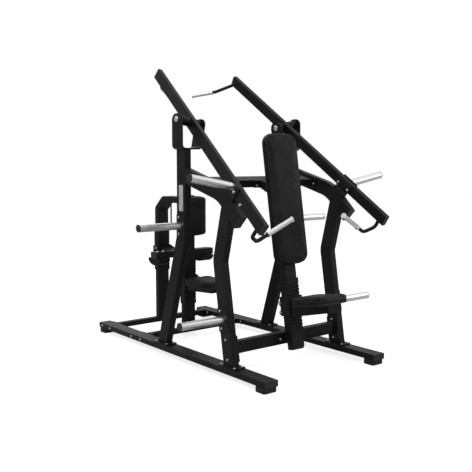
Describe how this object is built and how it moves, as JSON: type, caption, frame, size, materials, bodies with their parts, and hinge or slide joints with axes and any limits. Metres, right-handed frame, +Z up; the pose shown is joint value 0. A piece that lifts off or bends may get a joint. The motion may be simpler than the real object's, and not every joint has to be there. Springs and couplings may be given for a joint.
{
  "type": "plate-loaded chest press machine",
  "caption": "Plate-loaded gym frame with two swinging lever arms: a seated chest press at the front and a pulldown seat with thigh pads behind.",
  "frame": {"origin": "on the floor, at the middle of the machine's width and length", "axes": "+X to the machine's right when facing the way a seated presser's back faces, +Y from the press station to the pulldown station, +Z up; the mirror plane is x = 0"},
  "size_m": [1.666, 2.0798, 2.0046],
  "materials": {
    "frame_paint": "satin black powder coat",
    "rack_paint": "matt black powder coat",
    "horn_chrome": "polished",
    "grip_chrome": "fine knurled",
    "shaft_chrome": "polished",
    "pin_chrome": "polished",
    "bolt_steel": "zinc plated",
    "cap_plastic": "moulded black",
    "rubber": "moulded black",
    "pad_vinyl": "black grained upholstery vinyl",
    "board": "black painted plywood",
    "label_white": "plain white, no lettering"
  },
  "bodies": {
    "frame": {"arm_bumpers": "rubber", "back_pad": "pad_vinyl", "backboard": "board", "chest_pad": "pad_vinyl", "end_caps": "cap_plastic", "frame_bolts": "bolt_steel", "frame_horn_flanges": "frame_paint", "frame_horns": "horn_chrome", "front_crossbar": "frame_paint", "left_front_leg": "frame_paint", "left_main_post": "frame_paint", "left_pivot_shaft": "shaft_chrome", "left_rail": "frame_paint", "left_side_tube": "frame_paint", "left_yoke": "frame_paint", "middle_crossbar": "frame_paint", "name_plate": "label_white", "press_rack": "rack_paint", "press_stem": "frame_paint", "rear_crossbar": "frame_paint", "rear_stem": "frame_paint", "right_front_leg": "frame_paint", "right_main_post": "frame_paint", "right_pivot_shaft": "shaft_chrome", "right_rail": "frame_paint", "right_side_tube": "frame_paint", "right_yoke": "frame_paint", "rubber_feet": "rubber", "seat_rack": "rack_paint", "seat_stem": "frame_paint", "stem_brackets": "frame_paint", "thigh_rack": "rack_paint", "top_tube": "frame_paint", "upper_crossbeam": "frame_paint"},
    "right_arm": {"right_arm": "frame_paint", "right_arm_caps": "cap_plastic", "right_arm_horn": "horn_chrome", "right_press_handle": "frame_paint", "right_press_grip": "grip_chrome", "right_pulldown_handle": "frame_paint", "right_pulldown_grip": "grip_chrome"},
    "left_arm": {"left_arm": "frame_paint", "left_arm_caps": "cap_plastic", "left_arm_horn": "horn_chrome", "left_press_handle": "frame_paint", "left_press_grip": "grip_chrome", "left_pulldown_handle": "frame_paint", "left_pulldown_grip": "grip_chrome"},
    "press_seat": {"press_seat_carriage": "frame_paint", "press_seat_guides": "bolt_steel", "press_seat_pad": "pad_vinyl"},
    "press_seat_lock": {"press_seat_pin": "pin_chrome"},
    "pulldown_seat": {"pulldown_seat_carriage": "frame_paint", "pulldown_seat_pad": "pad_vinyl"},
    "pulldown_seat_lock": {"pulldown_seat_pin": "pin_chrome"},
    "thigh_unit": {"thigh_carriage": "frame_paint", "thigh_beam": "frame_paint", "thigh_caps": "cap_plastic", "thigh_pads": "pad_vinyl"},
    "thigh_lock": {"thigh_pin": "pin_chrome"}
  },
  "joints": [
    {"name": "right_arm_hinge", "type": "hinge", "parent": "frame", "child": "right_arm", "pos_m": [0.413, -0.09311, 1.601], "axis": [-0.9844, 0, -0.1757], "range_deg": [0, 40]},
    {"name": "left_arm_hinge", "type": "hinge", "parent": "frame", "child": "left_arm", "pos_m": [-0.413, -0.09311, 1.601], "axis": [-0.9844, 0, 0.1757], "range_deg": [0, 40]},
    {"name": "press_seat_slide", "type": "slide", "parent": "frame", "child": "press_seat", "axis": [0, 0.1616, 0.9869], "range_m": [-0.046, 0.115]},
    {"name": "pulldown_seat_slide", "type": "slide", "parent": "frame", "child": "pulldown_seat", "axis": [0, 0, 1], "range_m": [-0.069, 0.069]},
    {"name": "thigh_unit_slide", "type": "slide", "parent": "frame", "child": "thigh_unit", "axis": [0, 0, 1], "range_m": [-0.023, 0.092]},
    {"name": "press_seat_pull_pin", "type": "slide", "parent": "press_seat", "child": "press_seat_lock", "axis": [1, 0, 0], "range_m": [0, 0.008], "stiffness_N_per_m": 600, "springref_m": -0.004},
    {"name": "pulldown_seat_pull_pin", "type": "slide", "parent": "pulldown_seat", "child": "pulldown_seat_lock", "axis": [1, 0, 0], "range_m": [0, 0.008], "stiffness_N_per_m": 600, "springref_m": -0.004},
    {"name": "thigh_pull_pin", "type": "slide", "parent": "thigh_unit", "child": "thigh_lock", "axis": [0, 1, 0], "range_m": [0, 0.008], "stiffness_N_per_m": 600, "springref_m": -0.004}
  ]
}
